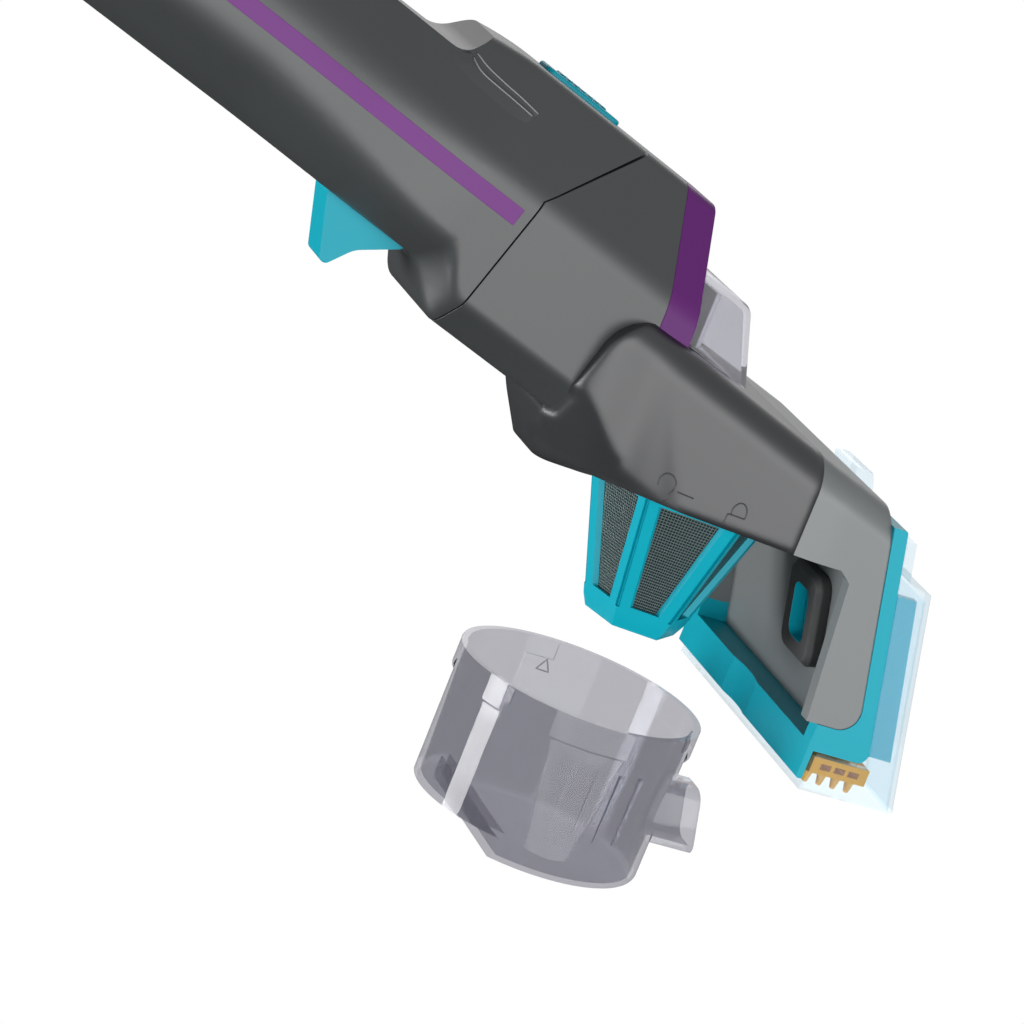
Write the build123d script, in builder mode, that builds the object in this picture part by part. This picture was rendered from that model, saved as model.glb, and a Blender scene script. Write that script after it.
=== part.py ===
from build123d import *
import os
from math import cos, radians, sin, tan

# Hand vacuum in millimetres. The origin is the grip's centre, +X points to the
# nozzle, +Z up. The handle's axis runs through the origin and drops to the front.
# The front of the machine is measured from the dust bin's axis at the collar's face.

# Stance
handle_tilt = 18.6
bin_reach = 184.5
collar_below = 32.81
tilt = radians(handle_tilt)
collar_drop = bin_reach * tan(tilt) + collar_below
bin_run = bin_reach / cos(tilt)

# Handle and motor housing, heights measured square to the handle's axis
wall = 2.5
shell_inset = 3.3
tail_s = -80.0
tail_length = 18.0
cap_length = 12.0
grip_half = 20.0
grip_top = 26.5
grip_bottom = -26.8
body_half = 31.0
pod_top = 36.5
body_bottom = -37.5
bend_w = 8.4
seam_back = 93.97
seam_s = bin_run - seam_back
pod_s = seam_s - 42.7
swell_start_s = seam_s - 86.7
swell_end_s = seam_s - 14.7
bulge_end_s = seam_s - 0.2
swell_stations = 7
bulge_stations = 6
seam_slant = 23.4
seam_gap = 0.5
vent_gap = 1.6
parting_w = 3.2
stripe_width = 5.3
stripe_margin = 3.0

# Nose, measured back from the bin's axis
ring_back = 40.0
ring_depth = 10.5
lens_top = 20.5
lens_half = 25.0
lens_reach = 25.0
lens_wall = 2.0

# Neck and nozzle frame, measured from the bin's axis at the collar's face
neck_top = 1.3
neck_toe = 60.0
neck_half = 36.5
heel_drop = 4.5
heel_flare = 30.0
crease_x = 16.0
frame_half = 54.0
frame_front = 45.2
frame_lean = 14.0
frame_low = 45.5
frame_back = 35.0
frame_wall = 5.0
flange = 5.5
edge_round = 9.0

# Suction nozzle
band = 4.6
band_drop = 8.0
cover_front = 62.0
cover_wall = 2.0
cover_top = 14.0
mouth_drop = 65.7
ledge_back = 43.0
ledge_drop = 51.5
comb_depth = 18.5
comb_height = 5.0
tooth_height = 4.4
tooth_rows = 4
tooth_columns = 11
tooth_pitch = 9.4

# Suction port between nozzle and bin
port_y = -17.0
port_z = -23.5
port_width = 15.0
port_height = 20.0
port_wall = 1.8
gasket_lip = 4.5

# Dust bin and its collar
collar_high = 10.0
bin_radius = 38.0
bin_base_radius = 36.6
bin_wall = 2.0
bin_floor = 1.5
bin_height = 50.0
bin_band = 8.0
bin_step = 7.0
bin_engage = 2.0
bin_pull = 70.5
bin_pull_back = 6.5
gap = 0.3

# Filter
filter_radius = bin_radius - 8
filter_tip_radius = 16.0
filter_length = 42.5
filter_spigot = bin_radius - 13
panel_count = 6

# Trigger and power button
trigger_half = 6.5
trigger_pin_radius = 2.0
pivot_s = seam_s - 16.7
pivot_w = -18.0
run_fit = 0.05
button_s = seam_s + 0.7
button_length = 28.0
button_half = 5.2
button_proud = 1.4
button_travel = 1.5

# Motor
motor_w = -2.0
motor_back_s = seam_s + 3.3
can_radius = 22.0
can_length = 28.0
shaft_radius = 1.6
core_radius = 13.0
fan_radius = 24.0
fan_depth = 9.0

# Battery and electronics
cell_radius = 9.15
cell_length = 65.0
cell_start_s = -49.0
board_w = -8.0
board_thickness = 1.6
jack_radius = 4.8
jack_bore = 2.8
jack_length = 9.0
jack_turn = 7.0
contact_thickness = 2.0
screw_radius = 1.5
screw_seat_w = -20.0

os.makedirs("parts", exist_ok=True)

# Reference planes
axis = Vector(cos(tilt), 0, -sin(tilt))
rise = Vector(sin(tilt), 0, cos(tilt))
handle_side = Plane((0, 0, 0), x_dir=axis, z_dir=(0, -1, 0))
front = Plane((bin_reach, 0, -collar_drop))
front_side = Plane((bin_reach, 0, -collar_drop), x_dir=(1, 0, 0), z_dir=(0, -1, 0))


def station(s, w=0):
    """Plane square to the handle's axis: x across, y up."""
    return Plane(axis * s + rise * w, x_dir=(0, 1, 0), z_dir=axis)


def above(w):
    """Plane along the handle at height w, facing up."""
    return Plane(rise * w, x_dir=axis, z_dir=rise)


# Cross-sections of the handle: an oval grip that grows into a faceted motor body
grip_shape = dict(half_top=7, half_bend=grip_half, half_low=grip_half, half_bottom=8,
                  top=grip_top, bend=8, low=-10, bottom=grip_bottom,
                  round_top=11, round_bend=24, round_low=19, round_bottom=12)
body_shape = dict(half_top=12, half_bend=body_half, half_low=body_half, half_bottom=22,
                  top=pod_top, bend=bend_w, low=-28, bottom=body_bottom,
                  round_top=5, round_bend=14, round_low=6, round_bottom=6)
finger_shape = dict(body_shape, half_bottom=14, low=-18, bottom=grip_bottom, round_low=8, round_bottom=8)
pod_roof = pod_top - shell_inset


def blend(first, second, share):
    """Cross-section values between two shapes."""
    return {key: first[key] + share * (second[key] - first[key]) for key in first}


def ease(s, start, end):
    """Smooth rise from 0 at start to 1 at end."""
    part = min(max((s - start) / (end - start), 0), 1)
    return part * part * (3 - 2 * part)


def shape_at(s):
    """Cross-section values at station s: grip, then the fingers' room, then the motor body."""
    swollen = blend(grip_shape, finger_shape, ease(s, swell_start_s, swell_end_s))
    return blend(swollen, body_shape, ease(s, swell_end_s, bulge_end_s))


def section(s, shape, inset=0.0, size=1.0):
    """One closed cross-section with rounded corners."""
    right = [
        (shape["half_top"] - inset / 3, shape["top"] - inset),
        (shape["half_bend"] - inset, shape["bend"]),
        (shape["half_low"] - inset, shape["low"]),
        (shape["half_bottom"] - inset / 3, shape["bottom"] + inset),
    ]
    rounds = [shape[key] for key in ("round_top", "round_bend", "round_low", "round_bottom")]
    right = [(size * x, size * y) for x, y in right]
    points = right + [(-x, y) for x, y in reversed(right)]
    rounds = [max(size * (r - inset / 2), 0.5) for r in rounds]
    with BuildSketch(station(s)) as face:
        with BuildLine():
            FilletPolyline(*points, radius=rounds + rounds[::-1], close=True)
        make_face()
    return face.sketch


def run_of(start, end, count):
    """Cross-sections at even steps along the handle."""
    return [section(s, shape_at(s)) for s in [start + (end - start) * k / (count - 1) for k in range(count)]]


def tail_sections():
    """Cross-sections of the tail cap, closing in on its flat end."""
    run = ((0, 0.62), (0.25 * tail_length, 0.85), (0.6 * tail_length, 0.97), (tail_length, 1.0))
    return [section(tail_s + d, grip_shape, size=size) for d, size in run]


def cavity_sections():
    """Plain eight-cornered cross-sections of the handle's inside."""
    roof = grip_top - shell_inset
    floor = grip_bottom + shell_inset
    run = (
        (tail_s + shell_inset, 0.6, roof, floor),
        (tail_s + 0.5 * tail_length, 0.86, roof, floor),
        (tail_s + tail_length, 1, roof, floor),
        (swell_start_s, 1, roof, floor),
        (swell_start_s + 0.3 * (pod_s - swell_start_s), 1, roof, floor),
        (pod_s + 2, 1, roof, floor),
        (pod_s + 14, 1, pod_roof, floor),
        (swell_end_s, 1, pod_roof, floor),
        (seam_s - 6, 1, pod_roof, floor),
        (seam_s + 6, 1, pod_roof, body_bottom + shell_inset),
        (seam_s + seam_slant + 8, 1, pod_roof, body_bottom + shell_inset),
    )
    faces = []
    for s, size, top, bottom in run:
        shape = shape_at(s)
        right = [(shape["half_top"] - shell_inset / 3, top),
                 (shape["half_bend"] - shell_inset, shape["bend"]),
                 (shape["half_low"] - shell_inset, max(shape["low"], bottom + 8)),
                 (shape["half_bottom"] - shell_inset / 3, bottom)]
        right = [(size * y, size * w) for y, w in right]
        with BuildSketch(station(s)) as face:
            with BuildLine():
                Polyline(*right, *[(-y, w) for y, w in reversed(right)], close=True)
            make_face()
        faces.append(face.sketch)
    return faces


def seam_edge(low_shift, high_shift):
    """The seam's line in the handle's side plane, moved forward along the handle."""
    reach = 2 * pod_top
    lean = seam_slant / (pod_top - bend_w)
    low = (seam_s + low_shift, -reach)
    knee = (seam_s + low_shift, bend_w)
    high = (seam_s + high_shift + lean * (reach - bend_w), reach)
    return low, knee, high


thumb_w = grip_top - 0.3
dip = ((swell_start_s - 12, grip_top + 0.2, 0), (swell_start_s + 10, thumb_w, 30), (pod_s + 3, thumb_w, 8),
       (pod_s + 10, pod_top, 4), (pod_s + 15, pod_top + 2, 0), (pod_s + 15, pod_top + 20, 0),
       (swell_start_s - 12, pod_top + 20, 0))
with BuildPart() as handle_shell:
    extrude(section(swell_start_s, grip_shape).faces()[0], amount=tail_s + tail_length - swell_start_s)
    loft(sections=run_of(swell_start_s, swell_end_s, swell_stations))
    loft(sections=run_of(swell_end_s, bulge_end_s, bulge_stations))
    extrude(section(bulge_end_s, body_shape).faces()[0], amount=seam_s + seam_slant + 6 - bulge_end_s)
    loft(sections=tail_sections())
    with BuildSketch(handle_side):
        with BuildLine():
            FilletPolyline(*[(s, w) for s, w, r in dip], radius=[r for s, w, r in dip], close=True)
        make_face()
    extrude(amount=2 * body_half, both=True, mode=Mode.SUBTRACT)
    with BuildSketch(handle_side):
        with BuildLine():
            Polyline(*seam_edge(0, 0), (400, 2 * pod_top), (400, -2 * pod_top), close=True)
        make_face()
    extrude(amount=2 * body_half, both=True, mode=Mode.SUBTRACT)
    loft(sections=cavity_sections(), ruled=True, mode=Mode.SUBTRACT)
    with BuildSketch(station(tail_s - 1)):
        Circle(jack_radius)
    extrude(amount=jack_length + contact_thickness + 1, mode=Mode.SUBTRACT)

# Cap at the handle's end, with the charging socket in it
cap_plane = station(tail_s + cap_length)
with BuildPart() as tail_cap:
    add(handle_shell.part)
    split(bisect_by=cap_plane, keep=Keep.BOTTOM)
tail_cap.part.label = "tail_cap"

# Purple stripes let through the handle's flanks, just under the parting line
stripe_back_s = tail_s + cap_length + stripe_margin
stripe_front_s = seam_s - stripe_margin


def stripe_box(side):
    """Block that cuts one flank's stripe out of the handle's wall."""
    with BuildPart() as block:
        with BuildSketch(above(parting_w + 1)):
            with Locations(((stripe_back_s + stripe_front_s) / 2, side * body_half)):
                Rectangle(stripe_front_s - stripe_back_s, 2 * body_half - 10)
        extrude(amount=-stripe_width - 1)
    return block.part


with BuildPart() as lower_half:
    add(handle_shell.part)
    split(bisect_by=cap_plane, keep=Keep.TOP)
    split(bisect_by=above(parting_w), keep=Keep.BOTTOM)

with BuildPart() as stripe_right:
    add(lower_half.part)
    add(stripe_box(-1), mode=Mode.INTERSECT)
stripe_right.part.label = "stripe_right"

with BuildPart() as stripe_left:
    add(lower_half.part)
    add(stripe_box(1), mode=Mode.INTERSECT)
stripe_left.part.label = "stripe_left"

# Lower shell with board posts, trigger ears, battery saddles and screw bosses
post_back_s = pod_s - 2
post_front_s = seam_s - 9
post_y = 11.5
post_places = [(s, y) for s in (post_back_s, post_front_s) for y in (-post_y, post_y)]
board_overhang = 4.5
cell_pitch = 2 * cell_radius + 0.4
holder_plate = 3.0
holder_front_s = cell_start_s + cell_length + holder_plate
screw_places = [tail_s + 19, (holder_front_s + post_back_s - board_overhang) / 2]
holder_low = -cell_pitch / 2 - cell_radius
saddle_places = [cell_start_s - holder_plate / 2, cell_start_s + cell_length + holder_plate / 2]
ear_inner = trigger_half + gap
ear_thickness = 3.0
ear_top = pivot_w + 5
boss_radius = 4.0
post_foot = grip_bottom + shell_inset - 1
slot_back_s = pod_s - 1.6
slot_front_s = pivot_s + 5.5
with BuildPart() as handle_lower_shell:
    add(lower_half.part)
    add(stripe_box(-1), mode=Mode.SUBTRACT)
    add(stripe_box(1), mode=Mode.SUBTRACT)
    with BuildSketch(above(post_foot)):
        with Locations(*post_places):
            Circle(3)
    extrude(amount=board_w - post_foot)
    with BuildSketch(above(post_foot)):
        with Locations(*[(s, 0) for s in screw_places]):
            Circle(boss_radius)
    extrude(amount=parting_w - post_foot)
    with BuildSketch(above(post_foot)):
        with Locations(*[(s, 0) for s in saddle_places]):
            Rectangle(holder_plate, 10)
    extrude(amount=holder_low - post_foot)
    with BuildSketch(above(post_foot)):
        with Locations((pivot_s, ear_inner + ear_thickness / 2), (pivot_s, -ear_inner - ear_thickness / 2)):
            Rectangle(10, ear_thickness)
    extrude(amount=ear_top - post_foot)
    with BuildSketch(above(post_foot + 2)):
        with Locations(((slot_back_s + slot_front_s) / 2, 0)):
            Rectangle(slot_front_s - slot_back_s, 2 * ear_inner)
    extrude(amount=-20, mode=Mode.SUBTRACT)
    with BuildSketch(handle_side):
        with Locations((pivot_s, pivot_w)):
            Circle(trigger_pin_radius)
    extrude(amount=ear_inner + ear_thickness, both=True, mode=Mode.SUBTRACT)
    with BuildSketch(above(parting_w)):
        with Locations(*[(s, 0) for s in screw_places]):
            Circle(screw_radius)
    extrude(amount=2 * body_bottom, mode=Mode.SUBTRACT)
    with BuildSketch(above(screw_seat_w)):
        with Locations(*[(s, 0) for s in screw_places]):
            Circle(boss_radius - 1)
    extrude(amount=body_bottom, mode=Mode.SUBTRACT)
handle_lower_shell.part.label = "handle_lower_shell"

# Upper shell with the button's slot, the button board's rails and screw bosses
rail_low = pod_roof - 6.4
rail_y = button_half + 4.3
with BuildPart() as handle_upper_shell:
    add(handle_shell.part)
    split(bisect_by=cap_plane, keep=Keep.TOP)
    split(bisect_by=above(parting_w), keep=Keep.TOP)
    with BuildSketch(above(parting_w)):
        with Locations(*[(s, 0) for s in screw_places]):
            Circle(boss_radius)
            Circle(screw_radius, mode=Mode.SUBTRACT)
    extrude(amount=grip_top - shell_inset + 1 - parting_w)
    with BuildSketch(above(rail_low)):
        with Locations((button_s, rail_y), (button_s, -rail_y)):
            Rectangle(button_length - 8, 2)
    extrude(amount=pod_roof + 1 - rail_low)
    with BuildSketch(above(pod_roof - 1)):
        with Locations((button_s, 0)):
            RectangleRounded(button_length + 2 * gap, 2 * (button_half + gap), 3)
    extrude(amount=20, mode=Mode.SUBTRACT)
handle_upper_shell.part.label = "handle_upper_shell"


def body_prism(inset=0.0):
    """Straight motor body from behind the seam to past the nose, cut level above the collar."""
    with BuildPart() as prism:
        extrude(section(seam_s - 15, body_shape, inset).faces()[0], amount=seam_back)
        split(bisect_by=front.offset(collar_high), keep=Keep.TOP)
    return prism.part


ring_x = bin_reach - ring_back
nose_x = ring_x + ring_depth
ring_plane = Plane((ring_x, 0, 0), x_dir=(0, 1, 0), z_dir=(1, 0, 0))
nose_plane = Plane((nose_x, 0, 0), x_dir=(0, 1, 0), z_dir=(1, 0, 0))
body_form = body_prism()
body_cavity = body_prism(shell_inset)

with BuildPart() as motor_housing:
    add(body_form)
    add(body_cavity, mode=Mode.SUBTRACT)
    split(bisect_by=ring_plane, keep=Keep.BOTTOM)
    with BuildSketch(handle_side):
        with BuildLine():
            Polyline(*seam_edge(seam_gap, vent_gap), (-200, 2 * pod_top), (-200, -2 * pod_top), close=True)
        make_face()
    extrude(amount=2 * body_half, both=True, mode=Mode.SUBTRACT)
motor_housing.part.label = "motor_housing"

with BuildPart() as nose_ring:
    add(body_form)
    add(body_cavity, mode=Mode.SUBTRACT)
    split(bisect_by=ring_plane, keep=Keep.TOP)
    split(bisect_by=nose_plane, keep=Keep.BOTTOM)
nose_ring.part.label = "nose_ring"

with BuildPart() as nose_plate:
    add(body_cavity)
    split(bisect_by=nose_plane.offset(-1 - wall), keep=Keep.TOP)
    split(bisect_by=nose_plane.offset(-1), keep=Keep.BOTTOM)
    split(bisect_by=above(neck_top), keep=Keep.TOP)
nose_plate.part.label = "nose_plate"

# Spigot that joins the handle to the motor housing, slotted for the exhaust
spigot_reach = 3.0
spigot_skin = 1.8
spigot_low = -15.0
with BuildPart() as joint_spigot:
    add(body_cavity)
    add(body_prism(shell_inset + spigot_skin), mode=Mode.SUBTRACT)
    split(bisect_by=above(spigot_low), keep=Keep.TOP)
    with BuildSketch(handle_side):
        with BuildLine():
            Polyline(*seam_edge(-spigot_reach, -spigot_reach), (-200, 2 * pod_top), (-200, -2 * pod_top),
                     close=True)
        make_face()
        with BuildLine():
            Polyline(*seam_edge(spigot_reach, spigot_reach), (400, 2 * pod_top), (400, -2 * pod_top),
                     close=True)
        make_face()
    extrude(amount=2 * body_half, both=True, mode=Mode.SUBTRACT)
    with BuildSketch(handle_side):
        with Locations(*[(seam_s + 1 + seam_slant * k / 6, bend_w + (pod_top - bend_w) * k / 6)
                         for k in range(1, 6)]):
            Rectangle(7, 2.2)
    extrude(amount=2 * body_half, both=True, mode=Mode.SUBTRACT)
joint_spigot.part.label = "joint_spigot"


# Neck and nozzle frame, first as one form so that their flanks run through
frame_slope = tan(radians(frame_lean))
lean_normal = Vector(cos(radians(frame_lean)), 0, sin(radians(frame_lean)))
toe_rise = 17.6
crease_plane = Plane((bin_reach + crease_x, 0, 0), x_dir=(0, 1, 0), z_dir=(1, 0, 0))


def frame_x(z):
    """Front face of the nozzle frame at height z above the collar's face."""
    return frame_front - z * frame_slope


def height(x, w):
    """Height above the collar's face of a point at x that lies w above the handle's axis."""
    return collar_drop + (w - (bin_reach + x) * sin(tilt)) / cos(tilt)


def heel_trim(inset=0.0):
    """Block round the heel that leaves the neck narrower at the collar than under the motor body."""
    low = -2 * heel_drop
    right = [(40, -71.3), (-neck_toe + 18, -29.5), (-neck_toe + 5, -14)]
    with BuildPart() as trim:
        with BuildSketch(front.offset(low)):
            with Locations((-neck_toe, 0)):
                Rectangle(2 * (neck_toe + 6), 4 * frame_half)
        extrude(amount=4 * pod_top)
        with BuildSketch(front.offset(low)):
            with BuildLine():
                FilletPolyline(*right, *[(x, -y) for x, y in reversed(right)],
                               radius=(0, 22, 18, 18, 22, 0), close=True)
            make_face()
            offset(amount=low * tan(radians(heel_flare)) - inset)
        extrude(amount=4 * pod_top, taper=-heel_flare, mode=Mode.SUBTRACT)
    return trim.part


def front_solid(inset=0.0):
    """Neck and frame inside one outline, drawn in by inset for the hollow above the collar's face."""
    high = 2 * pod_top
    brow = height(frame_x(0), neck_top) + 4
    heel = [(-bin_radius - 3, 0), (-neck_toe + 4, -heel_drop)]
    toe = [(-neck_toe, toe_rise), (-neck_toe + 10, height(-neck_toe + 10, neck_top + 0.1))]
    nozzle = [(frame_x(brow), brow), (frame_x(-frame_low), -frame_low), (frame_back + 4.5, -frame_low),
              (frame_back, -3), (frame_back - 4, 0)]
    corners = [0, 3, 8, 14, 0, 6, 0, 0, 0]
    if inset:
        heel = [(-neck_toe + 5, 0)]
        nozzle = [(frame_x(brow) - frame_wall + inset, brow), (frame_x(0) - frame_wall + inset, 0)]
        corners = [0, 8, 14, 0, 0]
    right = [(80, -frame_half), (crease_x + 6, 1 - frame_half), (-38, -neck_half),
             (-neck_toe - 4, -neck_half)]
    with BuildPart() as solid:
        with BuildSketch(front.offset(-2 * frame_low)):
            with BuildLine():
                FilletPolyline(*right, *[(x, -y) for x, y in reversed(right)],
                               radius=(0, 40, 30, 16, 16, 30, 40, 0), close=True)
            make_face()
            if inset:
                offset(amount=-inset)
        extrude(amount=2 * frame_low + 2 * high)
        split(bisect_by=above(neck_top - inset), keep=Keep.BOTTOM)
        roof = solid.faces().sort_by(Axis((0, 0, 0), rise))[-1]
        fillet(roof.edges().sort_by(Axis.X)[:-1], edge_round - inset)
        with BuildSketch(front_side.offset(-frame_half)):
            with BuildLine():
                FilletPolyline(*heel, *toe, *nozzle, radius=corners, close=True)
            make_face()
            if inset:
                offset(amount=-inset)
        extrude(amount=2 * frame_half, mode=Mode.INTERSECT)
        add(heel_trim(inset), mode=Mode.SUBTRACT)
    return solid.part


front_form = front_solid()
front_cavity = front_solid(wall)
with BuildPart() as front_shell:
    add(front_form)
    add(front_cavity, mode=Mode.SUBTRACT)

# Collar: a round socket in the neck's floor for the lock ring and the filter
socket_radius = bin_radius + 2.9
collar_wall = 1.6
lip_height = 1.0
lip_reach = 1.0
seat_z = 8.0
with BuildPart() as collar_form:
    with BuildSketch(front):
        Circle(socket_radius + collar_wall)
    extrude(amount=collar_high)
    add(front_form, mode=Mode.INTERSECT)

with BuildPart() as neck_housing:
    add(front_shell.part)
    split(bisect_by=crease_plane, keep=Keep.BOTTOM)
    add(collar_form.part)
    with BuildSketch(front.offset(lip_height)):
        Circle(socket_radius)
    extrude(amount=seat_z - lip_height, mode=Mode.SUBTRACT)
    with BuildSketch(front):
        Circle(socket_radius - lip_reach)
    extrude(amount=lip_height, mode=Mode.SUBTRACT)
    with BuildSketch(front):
        Circle(filter_spigot + gap)
    extrude(amount=collar_high, mode=Mode.SUBTRACT)
    add(body_form, mode=Mode.SUBTRACT)
neck_housing.part.label = "neck_housing"

# Suction port: a teal sleeve of the nozzle's base runs through the frame's wall to the gasket
bay_z = -ledge_drop
bay_half = frame_half - flange
sleeve_wall = 1.5
port_plane = Plane(front.from_local_coords((frame_x(port_z) - frame_wall, port_y, port_z)),
                   x_dir=(0, 1, 0), z_dir=-lean_normal)
with BuildPart() as port_sleeve:
    with BuildSketch(crease_plane):
        with Locations((port_y, port_z - collar_drop)):
            RectangleRounded(port_width - 2 * port_wall + 2 * sleeve_wall,
                             port_height - 2 * port_wall + 2 * sleeve_wall, 4)
    extrude(amount=60)
    split(bisect_by=port_plane, keep=Keep.BOTTOM)
    split(bisect_by=port_plane.offset(-frame_wall - 1), keep=Keep.TOP)

# Apron: the frame's rear wall carried down to the ledge of the nozzle's base
with BuildPart() as apron:
    with BuildSketch(front_side):
        with BuildLine():
            Polyline((frame_x(bay_z) - frame_wall, bay_z),
                     (frame_x(-frame_low + 8) - frame_wall, 8 - frame_low),
                     (frame_x(-frame_low + 8) - 1, 8 - frame_low), (frame_x(bay_z) - 1, bay_z), close=True)
        make_face()
    extrude(amount=bay_half, both=True)

with BuildPart() as bay_form:
    with BuildSketch(front_side):
        with BuildLine():
            Polyline((0, 0), (frame_x(0) - frame_wall, 0), (frame_x(bay_z) - frame_wall, bay_z), (0, bay_z),
                     close=True)
        make_face()
    extrude(amount=bay_half, both=True)

with BuildPart() as nozzle_frame:
    add(front_shell.part)
    split(bisect_by=crease_plane, keep=Keep.TOP)
    add(collar_form.part, mode=Mode.SUBTRACT)
    add(bay_form.part, mode=Mode.SUBTRACT)
    add(apron.part)
    add(port_sleeve.part, mode=Mode.SUBTRACT)
nozzle_frame.part.label = "nozzle_frame"

# Suction nozzle's base: a band across the frame's front that wraps under it to a ledge, with two inner cheeks
band_top = 16.8
base_low = frame_low + band_drop
cheek_y = frame_half - 4.5
cheek_front = cover_front - cover_wall - 1.5
rear_skirt = 9.0
skirt_thickness = 2.0
notch_y = 3.0
notch_depth = 1.3
notch_radius = 45.0
with BuildPart() as nozzle_base:
    with BuildSketch(front_side):
        with BuildLine():
            FilletPolyline((frame_x(band_top), band_top), (frame_x(band_top) + band, band_top),
                           (frame_x(-base_low) + band, -base_low), (ledge_back + skirt_thickness, -base_low),
                           (ledge_back + skirt_thickness, -base_low - rear_skirt),
                           (ledge_back, -base_low - rear_skirt),
                           (ledge_back, -frame_low), (frame_x(-frame_low), -frame_low),
                           radius=(0, 1, 3, 0, 0.6, 0.6, 0, 6), close=True)
        make_face()
    extrude(amount=frame_half, both=True)
    for side in (-1, 1):
        with BuildSketch(front_side.offset(side * cheek_y)):
            with BuildLine():
                Polyline((frame_front + band - 1, -3), (cheek_front, -3),
                         (cheek_front + (base_low - 2) * frame_slope, -base_low + 2),
                         (frame_x(2 - base_low) + band - 1, -base_low + 2), close=True)
            make_face()
        extrude(amount=1.5, both=True)
    add(bay_form.part, mode=Mode.SUBTRACT)
    add(apron.part, mode=Mode.SUBTRACT)
    with BuildSketch(front.offset(bay_z)):
        with Locations((ledge_back + notch_depth - notch_radius, notch_y)):
            Circle(notch_radius)
    extrude(amount=-2 * rear_skirt, mode=Mode.SUBTRACT)
    add(port_sleeve.part)
    with BuildSketch(crease_plane):
        with Locations((port_y, port_z - collar_drop)):
            RectangleRounded(port_width - 2 * port_wall, port_height - 2 * port_wall, 3)
    extrude(amount=60, mode=Mode.SUBTRACT)
nozzle_base.part.label = "nozzle_base"

# Clear nozzle cover: a duct in front of the base, open to it and at the mouth
cover_back = frame_front + band + gap
mouth_back = ledge_back + skirt_thickness + gap
lid_thickness = 3.0
shoulder = 2.5
tab_half = 9.0
tab_top = 20.5
lean = Axis((0, 0, 0), (-sin(radians(frame_lean)), 0, cos(radians(frame_lean))))


def cover_x(x, z):
    """A line parallel to the nozzle's lean that passes x at the collar's face."""
    return x - z * frame_slope


with BuildPart() as nozzle_cover:
    with BuildSketch(front_side):
        with BuildLine():
            Polyline((cover_x(cover_back, cover_top), cover_top),
                     (cover_x(cover_back + lid_thickness, cover_top), cover_top),
                     (cover_x(cover_back + lid_thickness, shoulder), shoulder), (cover_front, 0),
                     (cover_x(cover_front, -mouth_drop), -mouth_drop), (mouth_back, -mouth_drop),
                     (mouth_back, -base_low - 1), (cover_x(cover_back, -base_low - 1), -base_low - 1),
                     close=True)
        make_face()
    extrude(amount=frame_half, both=True)
    fillet(nozzle_cover.edges().filter_by(lean).sort_by(Axis.X)[-2:], 4)
    with BuildSketch(front_side):
        with BuildLine():
            Polyline((0, -cover_wall), (cover_x(cover_front - cover_wall, -cover_wall), -cover_wall),
                     (cover_x(cover_front - cover_wall, -2 * mouth_drop), -2 * mouth_drop),
                     (mouth_back + cover_wall, -2 * mouth_drop), (mouth_back + cover_wall, -base_low),
                     (0, -base_low), close=True)
        make_face()
    extrude(amount=frame_half - cover_wall, both=True, mode=Mode.SUBTRACT)
    with BuildSketch(front_side):
        with BuildLine():
            FilletPolyline((cover_x(cover_back, 8), 8), (cover_x(cover_back, tab_top), tab_top),
                           (cover_x(cover_back + 6, tab_top), tab_top), (cover_x(cover_back + 7, 8), 8),
                           radius=(0, 0.8, 2.5, 0), close=True)
        make_face()
    extrude(amount=tab_half, both=True)
nozzle_cover.part.label = "nozzle_cover"

# Rubber comb behind the mouth: a slotted bar with rows of tapered teeth
comb_back = mouth_back + cover_wall
comb_top = -base_low - 2
comb_half = frame_half - cover_wall
channel_pitch = comb_depth / 4
comb_plane = front.offset(comb_top - comb_height)
with BuildPart() as rubber_comb:
    with BuildSketch(front.offset(comb_top)):
        with Locations((comb_back + comb_depth / 2, 0)):
            Rectangle(comb_depth, 2 * comb_half)
    extrude(amount=-comb_height)
    with BuildSketch(front_side.offset(-comb_half)):
        with Locations(*[(comb_back + channel_pitch * k, comb_top - comb_height / 2) for k in (1, 2, 3)]):
            Rectangle(channel_pitch - 1.2, 1.8)
    extrude(amount=2 * comb_half, mode=Mode.SUBTRACT)
    with BuildSketch(comb_plane):
        with Locations(*[(comb_back + comb_depth * (k + 0.5) / tooth_rows, 0) for k in range(tooth_rows)]):
            with GridLocations(1, tooth_pitch, 1, tooth_columns):
                Circle(1.7)
    extrude(amount=-tooth_height, taper=12)
rubber_comb.part.label = "rubber_comb"

# Gasket round the suction port, on the frame's rear face
with BuildPart() as port_gasket:
    with BuildSketch(port_plane):
        RectangleRounded(port_width + 9, port_height + 8.5, 5)
    extrude(amount=gasket_lip)
    chamfer(port_gasket.faces().sort_by(Axis((0, 0, 0), -lean_normal))[-1].edges(), 1.6)
    with BuildSketch(port_plane):
        RectangleRounded(port_width - 2 * port_wall, port_height - 2 * port_wall, 3)
    extrude(amount=gasket_lip, mode=Mode.SUBTRACT)
port_gasket.part.label = "port_gasket"

# Lock ring that turns in the collar, and its seal above the bin's rim
ring_outer = socket_radius - gap
ring_high = 5.0
ring_inner = bin_radius + 0.5
seal_inner = bin_radius - 3.5
seal_z = bin_engage + gap
with BuildPart() as bin_lock_ring:
    with BuildSketch(front.offset(lip_height + gap)):
        Circle(ring_outer)
        Circle(seal_inner, mode=Mode.SUBTRACT)
    extrude(amount=ring_high - lip_height - gap)
    with BuildSketch(front):
        Circle(socket_radius - lip_reach - 2 * gap)
        Circle(seal_inner, mode=Mode.SUBTRACT)
    extrude(amount=lip_height + gap)
    with BuildSketch(front):
        Circle(ring_inner)
    extrude(amount=seal_z + gap, mode=Mode.SUBTRACT)
bin_lock_ring.part.label = "bin_lock_ring"

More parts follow.
